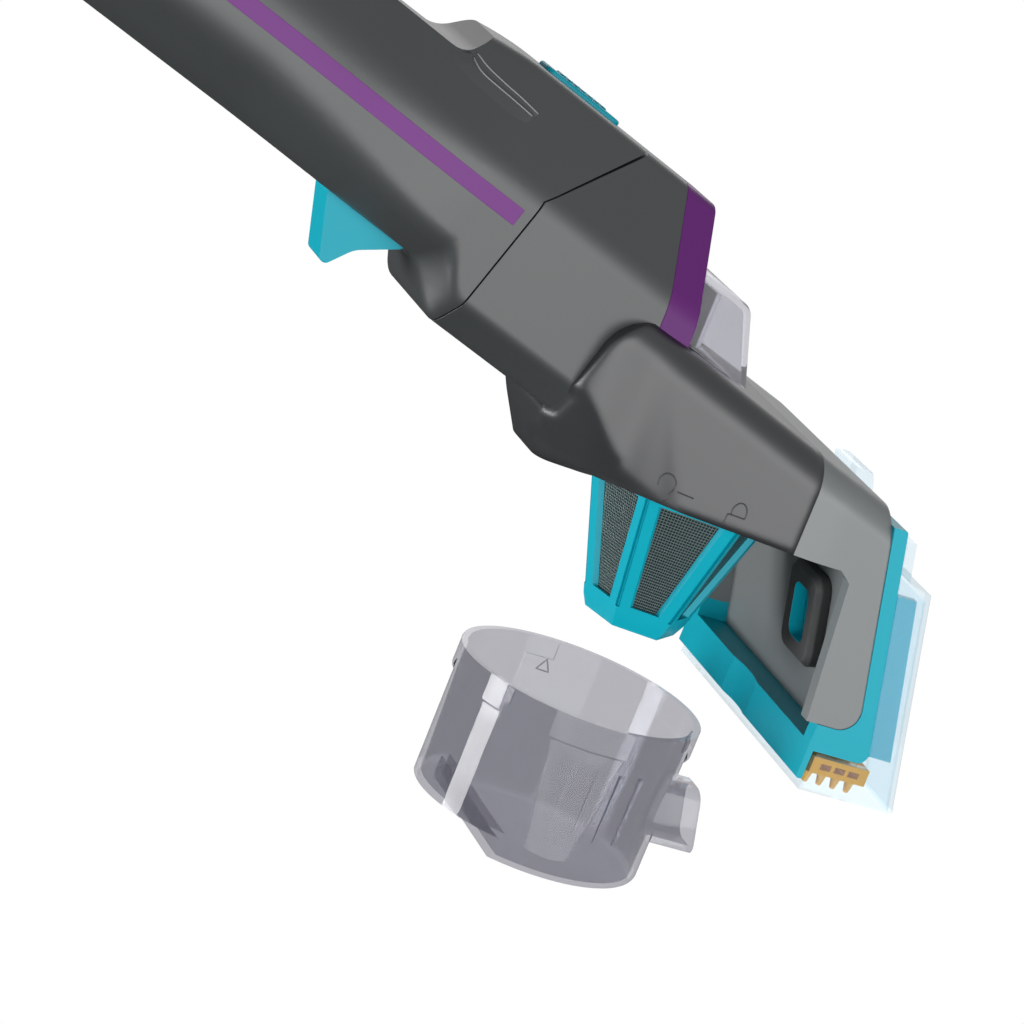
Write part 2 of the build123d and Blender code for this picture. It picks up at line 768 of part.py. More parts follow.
with BuildPart() as bin_seal:
    with BuildSketch(front.offset(seal_z)):
        Circle(bin_radius)
        Circle(seal_inner, mode=Mode.SUBTRACT)
    extrude(amount=gap)
bin_seal.part.label = "bin_seal"

# Dust bin, hanging below the collar as if just pulled off
bin_rim = Plane(front.from_local_coords((-bin_pull_back, 0, bin_engage - bin_pull)))
bin_side = Plane(bin_rim.origin, x_dir=(1, 0, 0), z_dir=(0, -1, 0))
shelf_x = -20.0
band_inner = bin_radius - 1.2
stub_z = port_z - bin_engage
with BuildPart() as bin_inside:
    with BuildSketch(bin_side):
        with BuildLine():
            Polyline((0, 1), (bin_radius - bin_wall, 1), (bin_radius - bin_wall, -bin_band),
                     (bin_base_radius - bin_wall, bin_floor - bin_height), (0, bin_floor - bin_height),
                     close=True)
        make_face()
    revolve(axis=Axis(bin_rim.origin, (0, 0, 1)))
    with BuildSketch(bin_side):
        with Locations((shelf_x + bin_wall - 50, bin_floor + bin_step - bin_height - 25)):
            Rectangle(100, 50)
    extrude(amount=bin_radius, both=True, mode=Mode.SUBTRACT)
stub_end = Plane(port_plane.origin - lean_normal * (gasket_lip + gap) + bin_rim.origin
                 - front.from_local_coords((0, 0, bin_engage)), x_dir=(0, 1, 0), z_dir=lean_normal)
stub_plane = Plane(bin_rim.from_local_coords((0, port_y, stub_z)), x_dir=(0, 1, 0), z_dir=(1, 0, 0))
with BuildPart() as stub_form:
    with BuildSketch(stub_plane):
        RectangleRounded(port_width, port_height, 4)
    extrude(amount=60)
    split(bisect_by=stub_end, keep=Keep.BOTTOM)
with BuildPart() as dust_bin:
    with BuildSketch(bin_side):
        with BuildLine():
            Polyline((0, 0), (bin_radius, 0), (bin_radius, -bin_band), (band_inner, -bin_band - 1),
                     (bin_base_radius, -bin_height), (0, -bin_height), close=True)
        make_face()
    revolve(axis=Axis(bin_rim.origin, (0, 0, 1)))
    fillet(dust_bin.edges().group_by(Axis.Z)[0], 2)
    with BuildSketch(bin_side):
        with Locations((shelf_x - 50, bin_step - bin_height - 25)):
            Rectangle(100, 50)
    extrude(amount=bin_radius, both=True, mode=Mode.SUBTRACT)
    add(stub_form.part)
    add(bin_inside.part, mode=Mode.SUBTRACT)
    with BuildSketch(stub_plane):
        RectangleRounded(port_width - 2 * port_wall, port_height - 2 * port_wall, 3)
    extrude(amount=60, mode=Mode.SUBTRACT)
    with BuildSketch(bin_rim.offset(-1)):
        with PolarLocations(bin_radius - bin_wall, 3, start_angle=90):
            Rectangle(1.6, 9)
    extrude(amount=-5)
    with BuildSketch(bin_rim.offset(-14)):
        with PolarLocations(bin_radius - bin_wall - 0.6, 5, start_angle=-115, angular_range=50,
                            endpoint=True):
            Rectangle(1.8, 1.2)
    extrude(amount=-22)
dust_bin.part.label = "dust_bin"

# Filter: a ribbed cage with a steel mesh, a pleated cartridge inside and a seal on its flange
flange_radius = filter_radius + 3
flange_low = 5.5
cage_low = -filter_length
cap_depth = 3.5
rib_width = 7.0
rib_start = -131.8
mesh_thickness = 0.6
cage_wall = 2.0


def cage_radius(z):
    """Corner radius of the cage at height z."""
    return filter_radius + (filter_tip_radius - filter_radius) * z / cage_low


def cage_cone(inset, high, low):
    """Six-sided taper of the cage between two heights, drawn in by inset."""
    faces = []
    for z in (high, low):
        with BuildSketch(front.offset(z)) as face:
            RegularPolygon(cage_radius(z) - inset, panel_count, rotation=rib_start)
        faces.append(face.sketch)
    with BuildPart() as cone:
        loft(sections=faces, ruled=True)
    return cone.part


window_high = -5.0
window_low = cage_low + 4


def rib_slabs(width):
    """Upright slabs along the cage's corners."""
    with BuildPart() as slabs:
        for k in range(panel_count):
            outward = Vector(1, 0, 0).rotate(Axis.Z, rib_start + 360 / panel_count * k)
            with BuildSketch(Plane(front.origin, x_dir=outward).offset(window_low - 1)):
                with Locations((filter_radius / 2, 0)):
                    Rectangle(filter_radius, width)
            extrude(amount=window_high - window_low + 2)
    return slabs.part


with BuildPart() as window_form:
    add(cage_cone(-1, window_high, window_low))
    add(rib_slabs(rib_width), mode=Mode.SUBTRACT)
with BuildPart() as groove_form:
    add(rib_slabs(1.4))
    add(cage_cone(0.9, 0, cage_low), mode=Mode.SUBTRACT)
with BuildPart() as filter_cage:
    add(cage_cone(0, 0, cage_low))
    with BuildSketch(front.offset(cage_low)):
        RegularPolygon(filter_tip_radius, panel_count, rotation=rib_start)
    extrude(amount=-cap_depth, taper=25)
    with BuildSketch(front):
        Circle(filter_radius)
    extrude(amount=flange_low)
    with BuildSketch(front.offset(flange_low)):
        Circle(flange_radius)
    extrude(amount=seat_z - 0.6 - flange_low)
    with BuildSketch(front.offset(seat_z - 0.6)):
        Circle(filter_spigot)
    extrude(amount=collar_high + 3.4 - seat_z)
    add(cage_cone(cage_wall, 0, cage_low), mode=Mode.SUBTRACT)
    with BuildSketch(front):
        Circle(filter_spigot - cage_wall)
    extrude(amount=collar_high + 10, mode=Mode.SUBTRACT)
    add(window_form.part, mode=Mode.SUBTRACT)
    add(groove_form.part, mode=Mode.SUBTRACT)
filter_cage.part.label = "filter_cage"

with BuildPart() as filter_mesh:
    add(cage_cone(cage_wall + 0.05, -1, cage_low + 1))
    add(cage_cone(cage_wall + 0.05 + mesh_thickness, 0, cage_low), mode=Mode.SUBTRACT)
filter_mesh.part.label = "filter_mesh"

with BuildPart() as filter_seal:
    with BuildSketch(front.offset(seat_z - 0.6)):
        Circle(flange_radius - 1)
        Circle(filter_spigot + 1, mode=Mode.SUBTRACT)
    extrude(amount=0.5)
filter_seal.part.label = "filter_seal"

# Pleated cartridge: a folded sleeve under the cage's top ring
pleats = 18
pleat_high = 6.0
pleat_low = cage_low + 8
pleat_outer = 12.5
pleat_inner = 9.5
fold = 360 / pleats
with BuildPart() as pleated_filter:
    with BuildSketch(front.offset(pleat_low)):
        with BuildLine():
            Polyline(*[PolarLine((0, 0), pleat_outer if k % 2 else pleat_inner, fold / 2 * k,
                                 mode=Mode.PRIVATE) @ 1 for k in range(2 * pleats)], close=True)
        make_face()
        Circle(pleat_inner - 1.5, mode=Mode.SUBTRACT)
    extrude(amount=pleat_high - pleat_low)
    with BuildSketch(front.offset(pleat_high)):
        Circle(filter_spigot - cage_wall)
        Circle(pleat_inner - 1.5, mode=Mode.SUBTRACT)
    extrude(amount=2)
    with BuildSketch(front.offset(pleat_low)):
        Circle(pleat_outer)
    extrude(amount=-1.5)
pleated_filter.part.label = "pleated_filter"

# Lamp at the nose: clear lens, white reflector plate and three lights
nose_back = -ring_back + ring_depth
lens_front = nose_back + lens_reach
lens_brow = lens_front - 8
with BuildPart() as lamp_lens:
    with BuildSketch(front_side.offset(-lens_half)):
        with BuildLine():
            FilletPolyline((nose_back, height(nose_back, neck_top)),
                           (nose_back, height(nose_back, lens_top)),
                           (lens_brow, height(lens_brow, lens_top)),
                           (lens_front, height(lens_front, neck_top)),
                           radius=(0, 0, 5, 0), close=True)
        make_face()
    extrude(amount=2 * lens_half)
    corner = lamp_lens.edges().filter_by(GeomType.LINE).sort_by(Axis((0, 0, 0), rise))
    fillet([edge for edge in corner if abs(edge.center().Y) > lens_half - 1
            and edge.center().X > bin_reach + nose_back + 1
            and edge.center().dot(rise) > neck_top + 1], 2.5)
    with BuildSketch(front_side.offset(-lens_half + lens_wall)):
        with BuildLine():
            FilletPolyline((nose_back - 5, height(nose_back, neck_top) - 20),
                           (nose_back - 5, height(nose_back - 5, lens_top - lens_wall)),
                           (lens_brow - lens_wall, height(lens_brow - lens_wall, lens_top - lens_wall)),
                           (lens_front - lens_wall, height(lens_front - lens_wall, neck_top)),
                           (lens_front - lens_wall, height(nose_back, neck_top) - 20),
                           radius=(0, 0, 3, 0, 0), close=True)
        make_face()
    extrude(amount=2 * lens_half - 2 * lens_wall, mode=Mode.SUBTRACT)
lamp_lens.part.label = "lamp_lens"

lamp_plane = nose_plane.offset(5.5)
lamp_x = nose_back + 5.5
lamp_low = height(lamp_x, neck_top) - collar_drop
lamp_high = height(lamp_x + 1.5, lens_top - lens_wall) - collar_drop
with BuildPart() as lamp_board:
    with BuildSketch(lamp_plane):
        with Locations((0, (lamp_low + lamp_high) / 2)):
            Rectangle(2 * (lens_half - lens_wall) - 2 * gap, lamp_high - lamp_low - 2 * gap)
    extrude(amount=1.5)
    split(bisect_by=above(neck_top), keep=Keep.TOP)
lamp_board.part.label = "lamp_board"

with BuildPart() as lamp_leds:
    with BuildSketch(lamp_plane.offset(1.5)):
        with Locations((0, (lamp_low + lamp_high) / 2)):
            with GridLocations(13, 1, 3, 1):
                Rectangle(5, 5)
    extrude(amount=1)
    with BuildSketch(lamp_plane.offset(2.5)):
        with Locations((0, (lamp_low + lamp_high) / 2)):
            with GridLocations(13, 1, 3, 1):
                Circle(1.8)
    extrude(amount=0.8, taper=20)
lamp_leds.part.label = "lamp_leds"

# Trigger on its pin, with a return spring and a switch above it
spring_y = 3.5
with BuildPart() as trigger:
    with BuildSketch(handle_side):
        with BuildLine():
            FilletPolyline((slot_back_s + 1.2, pivot_w - 3), (slot_back_s + 1.8, pivot_w - 9.5),
                           (slot_back_s + 13.8, pivot_w - 28), (pivot_s - 8.5, pivot_w - 18),
                           (pivot_s + 2.5, pivot_w - 9.8), (slot_front_s - 2, pivot_w - 4),
                           radius=(0.5, 3, 2, 9, 2, 0.5), close=True)
        make_face()
        with Locations((pivot_s, pivot_w)):
            Circle(4.6)
    extrude(amount=trigger_half, both=True)
    with BuildSketch(handle_side):
        with Locations((pivot_s, pivot_w)):
            Circle(trigger_pin_radius + run_fit)
    extrude(amount=trigger_half, both=True, mode=Mode.SUBTRACT)
    with BuildSketch(handle_side.offset(-trigger_half)):
        with Locations((pivot_s, pivot_w)):
            Circle(5.2)
    extrude(amount=trigger_half - spring_y, mode=Mode.SUBTRACT)
trigger.part.label = "trigger"

with BuildPart() as trigger_pin:
    with BuildSketch(handle_side):
        with Locations((pivot_s, pivot_w)):
            Circle(trigger_pin_radius)
    extrude(amount=ear_inner + ear_thickness, both=True)
trigger_pin.part.label = "trigger_pin"

with BuildPart() as trigger_spring:
    with BuildSketch(handle_side.offset(-trigger_half)):
        with Locations((pivot_s, pivot_w)):
            Circle(trigger_pin_radius + 2)
            Circle(trigger_pin_radius + gap, mode=Mode.SUBTRACT)
    extrude(amount=trigger_half - spring_y - gap)
trigger_spring.part.label = "trigger_spring"

with BuildPart() as trigger_switch:
    with BuildSketch(above(board_w)):
        with Locations((slot_back_s + 7.6, 0)):
            Rectangle(12, 10)
    extrude(amount=pivot_w + 0.8 - board_w)
trigger_switch.part.label = "trigger_switch"

# Control board on its posts, with a few components
board_s = (post_back_s + post_front_s) / 2
with BuildPart() as control_board:
    with BuildSketch(above(board_w)):
        with Locations((board_s, 0)):
            RectangleRounded(post_front_s - post_back_s + 2 * board_overhang, 2 * post_y + 7, 2)
    extrude(amount=board_thickness)
    with BuildSketch(above(board_w + board_thickness)):
        with Locations((board_s - 8, 5), (board_s - 8, -6)):
            Rectangle(9, 7)
    extrude(amount=1.8)
    with BuildSketch(above(board_w + board_thickness)):
        with Locations((board_s + 8, -5), (board_s + 16, 4)):
            Circle(3.5)
    extrude(amount=8)
control_board.part.label = "control_board"

# Power button in the handle's top, over a small switch on its own board
cap_thickness = 1.5
button_flange_top = pod_roof - 0.2
with BuildPart() as power_button:
    with BuildSketch(above(button_flange_top - cap_thickness)):
        with Locations((button_s, 0)):
            RectangleRounded(button_length + 2, 2 * button_half + 3.6, 3)
    extrude(amount=cap_thickness)
    with BuildSketch(above(button_flange_top)):
        with Locations((button_s, 0)):
            RectangleRounded(button_length, 2 * button_half, 2.7)
    extrude(amount=pod_top + button_proud - button_flange_top)
    fillet(power_button.faces().sort_by(Axis((0, 0, 0), rise))[-1].edges(), 0.8)
power_button.part.label = "power_button"

with BuildPart() as button_board:
    with BuildSketch(above(rail_low)):
        with Locations((button_s, 0)):
            Rectangle(26, 2 * rail_y + 3)
    extrude(amount=-board_thickness)
button_board.part.label = "button_board"

with BuildPart() as button_switch:
    with BuildSketch(above(rail_low)):
        with Locations((button_s, 0)):
            Rectangle(6, 6)
    extrude(amount=button_flange_top - cap_thickness - button_travel - 0.15 - rail_low)
button_switch.part.label = "button_switch"

# Battery: two cells one above the other between the holder's end plates
with BuildPart() as battery_cells:
    with BuildSketch(station(cell_start_s)):
        with GridLocations(1, cell_pitch, 1, 2):
            Circle(cell_radius)
    extrude(amount=cell_length)
battery_cells.part.label = "battery_cells"

holder_width = 2 * cell_radius
holder_height = cell_pitch + 2 * cell_radius
with BuildPart() as battery_holder:
    for s in (cell_start_s - holder_plate, cell_start_s + cell_length):
        with BuildSketch(station(s)):
            RectangleRounded(holder_width, holder_height, 4)
        extrude(amount=holder_plate)
    with BuildSketch(station(cell_start_s)):
        with GridLocations(15, 1, 2, 1):
            Rectangle(3, 3)
    extrude(amount=cell_length)
battery_holder.part.label = "battery_holder"

# Charging socket: a turned sleeve with a contact disc and two solder tabs behind it
with BuildPart() as charge_jack:
    with BuildSketch(station(tail_s)):
        with PolarLocations(0, 1, start_angle=jack_turn):
            Circle(jack_radius)
            Circle(jack_bore, mode=Mode.SUBTRACT)
    extrude(amount=jack_length)
charge_jack.part.label = "charge_jack"

with BuildPart() as charge_contact:
    with BuildSketch(station(tail_s + jack_length)):
        Circle(jack_radius)
    extrude(amount=contact_thickness)
    with BuildSketch(station(tail_s + jack_length + contact_thickness)):
        with GridLocations(jack_radius, 1, 2, 1):
            Rectangle(0.8, 2.4)
    extrude(amount=3)
charge_contact.part.label = "charge_contact"

with BuildPart() as housing_screws:
    with BuildSketch(above(screw_seat_w)):
        with Locations(*[(s, 0) for s in screw_places]):
            Circle(boss_radius - 1)
    extrude(amount=-2.2)
    with BuildSketch(above(screw_seat_w)):
        with Locations(*[(s, 0) for s in screw_places]):
            Circle(screw_radius)
    extrude(amount=parting_w + 12 - screw_seat_w)
    with BuildSketch(above(screw_seat_w - 2.2)):
        with Locations(*[(s, 0) for s in screw_places]):
            Rectangle(4, 0.8)
            Rectangle(0.8, 4)
    extrude(amount=1.2, mode=Mode.SUBTRACT)
housing_screws.part.label = "housing_screws"

# Motor: can with magnets, end bell, bearings and its two mounts
can_wall = 1.5
can_front_s = motor_back_s + can_length
bearing_radius = 5.0
bell_depth = 2.5
shaft_back_s = motor_back_s - 3
with BuildPart() as motor_can:
    with BuildSketch(station(motor_back_s, motor_w)):
        Circle(can_radius)
        Circle(bearing_radius, mode=Mode.SUBTRACT)
    extrude(amount=can_length)
    with BuildSketch(station(motor_back_s + can_wall + 1, motor_w)):
        Circle(can_radius - can_wall)
    extrude(amount=can_length, mode=Mode.SUBTRACT)
motor_can.part.label = "motor_can"

with BuildPart() as motor_magnets:
    with BuildSketch(station(motor_back_s + 5, motor_w)):
        Circle(can_radius - can_wall)
        Circle(core_radius + 1, mode=Mode.SUBTRACT)
        Rectangle(12, 3 * can_radius, mode=Mode.SUBTRACT)
    extrude(amount=can_length - 8)
motor_magnets.part.label = "motor_magnets"

with BuildPart() as motor_end_bell:
    with BuildSketch(station(can_front_s, motor_w)):
        Circle(can_radius)
        Circle(bearing_radius, mode=Mode.SUBTRACT)
        with PolarLocations(13, 6):
            Circle(3, mode=Mode.SUBTRACT)
    extrude(amount=bell_depth)
motor_end_bell.part.label = "motor_end_bell"

with BuildPart() as rear_bearing:
    with BuildSketch(station(motor_back_s, motor_w)):
        Circle(bearing_radius)
        Circle(shaft_radius + run_fit, mode=Mode.SUBTRACT)
    extrude(amount=can_wall + 1)
rear_bearing.part.label = "rear_bearing"

with BuildPart() as front_bearing:
    with BuildSketch(station(can_front_s, motor_w)):
        Circle(bearing_radius)
        Circle(shaft_radius + run_fit, mode=Mode.SUBTRACT)
    extrude(amount=bell_depth)
front_bearing.part.label = "front_bearing"

mount_s = seam_s + spigot_reach + 1.5
with BuildPart() as motor_mount_rear:
    add(body_cavity)
    split(bisect_by=station(mount_s), keep=Keep.TOP)
    split(bisect_by=station(mount_s + 3), keep=Keep.BOTTOM)
    split(bisect_by=above(bend_w - 3), keep=Keep.BOTTOM)
    with BuildSketch(station(mount_s, motor_w)):
        Circle(can_radius)
    extrude(amount=3, mode=Mode.SUBTRACT)
motor_mount_rear.part.label = "motor_mount_rear"

with BuildPart() as motor_mount_front:
    add(body_cavity)
    split(bisect_by=station(can_front_s), keep=Keep.TOP)
    split(bisect_by=station(can_front_s + bell_depth), keep=Keep.BOTTOM)
    with BuildSketch(station(can_front_s, motor_w)):
        Circle(can_radius)
    extrude(amount=bell_depth, mode=Mode.SUBTRACT)
motor_mount_front.part.label = "motor_mount_front"

# Fan in its shroud, and the rotor
fan_s = can_front_s + bell_depth + 2
shroud_depth = fan_depth + 5
shroud_radius = fan_radius + 3.2
with BuildPart() as fan_shroud:
    with BuildSketch(station(can_front_s + bell_depth, motor_w)):
        Circle(shroud_radius)
    extrude(amount=shroud_depth)
    with BuildSketch(station(can_front_s + bell_depth, motor_w)):
        Circle(shroud_radius - 1.5)
    extrude(amount=shroud_depth - 1.5, mode=Mode.SUBTRACT)
    with BuildSketch(station(can_front_s + bell_depth, motor_w)):
        Circle(fan_radius / 2)
    extrude(amount=shroud_depth, mode=Mode.SUBTRACT)
fan_shroud.part.label = "fan_shroud"

with BuildPart() as impeller:
    with BuildSketch(station(fan_s, motor_w)):
        Circle(fan_radius)
    extrude(amount=1.5)
    with BuildSketch(station(fan_s, motor_w)):
        Circle(6)
    extrude(amount=fan_depth)
    with BuildSketch(station(fan_s, motor_w)):
        with PolarLocations(fan_radius / 2 + 2.5, 9):
            with Locations(Rotation(0, 0, 35)):
                Rectangle(fan_radius - 8, 1.2)
    extrude(amount=fan_depth)
    with BuildSketch(station(fan_s, motor_w)):
        Circle(shaft_radius)
    extrude(amount=fan_depth, mode=Mode.SUBTRACT)
impeller.part.label = "impeller"

with BuildPart() as motor_shaft:
    with BuildSketch(station(shaft_back_s, motor_w)):
        Circle(shaft_radius)
    extrude(amount=fan_s + fan_depth - shaft_back_s)
motor_shaft.part.label = "motor_shaft"

with BuildPart() as rotor_core:
    with BuildSketch(station(motor_back_s + 6, motor_w)):
        Circle(core_radius)
        Circle(shaft_radius, mode=Mode.SUBTRACT)
        with PolarLocations(core_radius - 2, 6):
            Rectangle(4, 3, mode=Mode.SUBTRACT)
    extrude(amount=can_length - 10)
rotor_core.part.label = "rotor_core"

pieces = (
    handle_lower_shell, handle_upper_shell, tail_cap, stripe_right, stripe_left, trigger, trigger_pin,
    trigger_spring, trigger_switch, power_button, button_board, button_switch, control_board,
    battery_cells, battery_holder, charge_jack, charge_contact, housing_screws, motor_housing,
    joint_spigot, nose_ring, nose_plate, lamp_lens, lamp_board, lamp_leds, motor_can, motor_magnets,
    motor_end_bell, rear_bearing, front_bearing, motor_mount_rear, motor_mount_front, fan_shroud,
    impeller, motor_shaft, rotor_core, neck_housing, nozzle_frame, nozzle_base, nozzle_cover, rubber_comb,
    port_gasket, bin_lock_ring, bin_seal, dust_bin, filter_cage, filter_mesh, pleated_filter, filter_seal,
)
for piece in pieces:
    export_step(piece.part, "parts/" + piece.part.label + ".step")
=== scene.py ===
# %% [markdown]
# # A handheld vacuum cleaner, dressed for a studio picture
#
# The CAD model gives every shape its place, in metres, with the grip's centre at the origin, +X to the
# nozzle and +Z up. This lesson smooths and paints those shapes, adds the small moulded details that the
# CAD model leaves plain, and sets up a camera, a floor and soft light.

from math import cos, pi, radians, sin

import bpy
from mathutils import Matrix, Vector


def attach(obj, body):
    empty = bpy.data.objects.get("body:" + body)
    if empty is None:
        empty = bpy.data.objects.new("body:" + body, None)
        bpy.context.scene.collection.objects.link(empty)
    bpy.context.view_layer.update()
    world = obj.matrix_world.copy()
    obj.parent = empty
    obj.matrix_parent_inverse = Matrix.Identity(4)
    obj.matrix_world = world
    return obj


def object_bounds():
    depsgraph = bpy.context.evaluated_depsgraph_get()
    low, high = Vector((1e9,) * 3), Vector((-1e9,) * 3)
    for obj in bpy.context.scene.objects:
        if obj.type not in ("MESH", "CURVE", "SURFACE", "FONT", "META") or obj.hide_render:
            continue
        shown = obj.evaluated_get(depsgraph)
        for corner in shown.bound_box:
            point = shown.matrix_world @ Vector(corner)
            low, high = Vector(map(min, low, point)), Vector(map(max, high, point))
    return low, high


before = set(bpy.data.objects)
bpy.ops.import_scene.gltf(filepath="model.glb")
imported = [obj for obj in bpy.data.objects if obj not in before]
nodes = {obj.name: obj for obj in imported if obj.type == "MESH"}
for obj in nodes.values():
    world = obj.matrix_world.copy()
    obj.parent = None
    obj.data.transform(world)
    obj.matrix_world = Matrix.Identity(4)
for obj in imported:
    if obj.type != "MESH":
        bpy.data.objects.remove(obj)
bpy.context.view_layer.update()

# %% [markdown]
# ## Measures
#
# The handle's axis drops to the front. Points on the handle are given as s along that axis and w square
# to it. Points on the front are given from the dust bin's axis at the collar's face.

# %% Reference measures in metres
MM = 0.001
TILT = radians(18.6)
BIN_REACH = 184.5 * MM
COLLAR_DROP = 94.9 * MM


def on_handle(s, y, w):
    """Row-frame point of a place on the handle, all in millimetres."""
    return Vector((s * cos(TILT) + w * sin(TILT), y, w * cos(TILT) - s * sin(TILT))) * MM


def on_front(x, y, z):
    """Row-frame point of a place on the front of the machine, all in millimetres."""
    return Vector((BIN_REACH + x * MM, y * MM, z * MM - COLLAR_DROP))


# %% [markdown]
# ## Materials
#
# Each plastic has a fine moulded grain, so its roughness and bump come from noise in object space, with a
# grain size in millimetres. Colours are written as sRGB hex values. A plastic can also have soft edges: its
# shading then blends across every edge within a given distance, as a generous moulded radius does.

# %% Material helpers
def linear(code):
    """sRGB hex colour as the linear colour that shader sockets take."""
    values = [int(code[k:k + 2], 16) / 255 for k in (1, 3, 5)]
    return tuple(v / 12.92 if v <= 0.04045 else ((v + 0.055) / 1.055) ** 2.4 for v in values) + (1.0,)


def node(tree, kind, links=None, **values):
    """Adds one shader node, sets its properties and socket values, and links its inputs by name or number."""
    made = tree.nodes.new(kind)
    for name, value in values.items():
        if name in made.inputs:
            made.inputs[name].default_value = value
        else:
            setattr(made, name, value)
    for name, source in (links or {}).items():
        tree.links.new(source, made.inputs[name])
    return made


def new_material(name):
    """Empty node material with a Principled shader wired to its output."""
    material = bpy.data.materials.new(name)
    material.use_nodes = True
    tree = material.node_tree
    return material, tree, tree.nodes["Principled BSDF"]


def moulded(name, colour, rough=0.42, grain_mm=0.25, depth_mm=0.01, shine=0.5, tone=0.06, soft_mm=0):
    """Moulded plastic: a colour with slight tone drift, fine grain, uneven gloss and softened edges."""
    material, tree, shader = new_material(name)
    place = node(tree, "ShaderNodeTexCoord").outputs["Object"]
    grain = node(tree, "ShaderNodeTexNoise", {"Vector": place}, Scale=1 / (grain_mm * MM), Detail=2.0)
    drift = node(tree, "ShaderNodeTexNoise", {"Vector": place}, Scale=1 / (45 * MM), Detail=3.0)
    shade = node(tree, "ShaderNodeMix", {"Factor": drift.outputs["Fac"]}, data_type="RGBA")
    base = linear(colour)
    shade.inputs["A"].default_value = tuple(c * (1 - tone) for c in base[:3]) + (1,)
    shade.inputs["B"].default_value = tuple(min(1, c * (1 + tone)) for c in base[:3]) + (1,)
    gloss = node(tree, "ShaderNodeMapRange", {"Value": grain.outputs["Fac"]})
    gloss.inputs["To Min"].default_value = rough - 0.05
    gloss.inputs["To Max"].default_value = rough + 0.05
    bump = node(tree, "ShaderNodeBump", {"Height": grain.outputs["Fac"]}, Strength=0.35,
                Distance=depth_mm * MM)
    if soft_mm:
        rounded = node(tree, "ShaderNodeBevel", samples=8, Radius=soft_mm * MM)
        tree.links.new(rounded.outputs["Normal"], bump.inputs["Normal"])
    tree.links.new(shade.outputs["Result"], shader.inputs["Base Color"])
    tree.links.new(gloss.outputs["Result"], shader.inputs["Roughness"])
    tree.links.new(bump.outputs["Normal"], shader.inputs["Normal"])
    shader.inputs["Specular IOR Level"].default_value = shine
    return material


CLEAR_IOR = 1.01
CLEAR_COAT = 0.4


def clear(name, colour, rough=0.04):
    """Polished clear plastic with a faint wave left by the mould. Lamps shine through it."""
    material, tree, shader = new_material(name)
    place = node(tree, "ShaderNodeTexCoord").outputs["Object"]
    wave = node(tree, "ShaderNodeTexNoise", {"Vector": place}, Scale=1 / (12 * MM), Detail=1.0)
    bump = node(tree, "ShaderNodeBump", {"Height": wave.outputs["Fac"]}, Strength=0.15, Distance=0.05 * MM)
    tree.links.new(bump.outputs["Normal"], shader.inputs["Normal"])
    shader.inputs["Base Color"].default_value = linear(colour)
    shader.inputs["Roughness"].default_value = rough
    shader.inputs["Transmission Weight"].default_value = 1.0
    shader.inputs["IOR"].default_value = CLEAR_IOR
    shader.inputs["Coat Weight"].default_value = CLEAR_COAT
    shader.inputs["Coat Roughness"].default_value = rough
    ray = node(tree, "ShaderNodeLightPath")
    unlit = node(tree, "ShaderNodeMath", {0: ray.outputs["Is Shadow Ray"], 1: ray.outputs["Is Diffuse Ray"]},
                 operation="MAXIMUM")
    through = node(tree, "ShaderNodeBsdfTransparent", Color=linear(colour))
    look = node(tree, "ShaderNodeMixShader", {0: unlit.outputs["Value"], 1: shader.outputs["BSDF"],
                                              2: through.outputs["BSDF"]})
    tree.links.new(look.outputs["Shader"], tree.nodes["Material Output"].inputs["Surface"])
    return material


def metal(name, colour, rough=0.3):
    """Turned or drawn metal with fine scratches along one direction."""
    material, tree, shader = new_material(name)
    place = node(tree, "ShaderNodeTexCoord").outputs["Object"]
    stretch = node(tree, "ShaderNodeMapping", {"Vector": place})
    stretch.inputs["Scale"].default_value = (1, 1, 40)
    lines = node(tree, "ShaderNodeTexNoise", {"Vector": stretch.outputs["Vector"]}, Detail=2.0)
    lines.inputs["Scale"].default_value = 1 / (2 * MM)
    gloss = node(tree, "ShaderNodeMapRange", {"Value": lines.outputs["Fac"]})
    gloss.inputs["To Min"].default_value = rough - 0.1
    gloss.inputs["To Max"].default_value = rough + 0.1
    tree.links.new(gloss.outputs["Result"], shader.inputs["Roughness"])
    shader.inputs["Base Color"].default_value = linear(colour)
    shader.inputs["Metallic"].default_value = 1.0
    return material


CLOTH_RADIUS_MM = 22


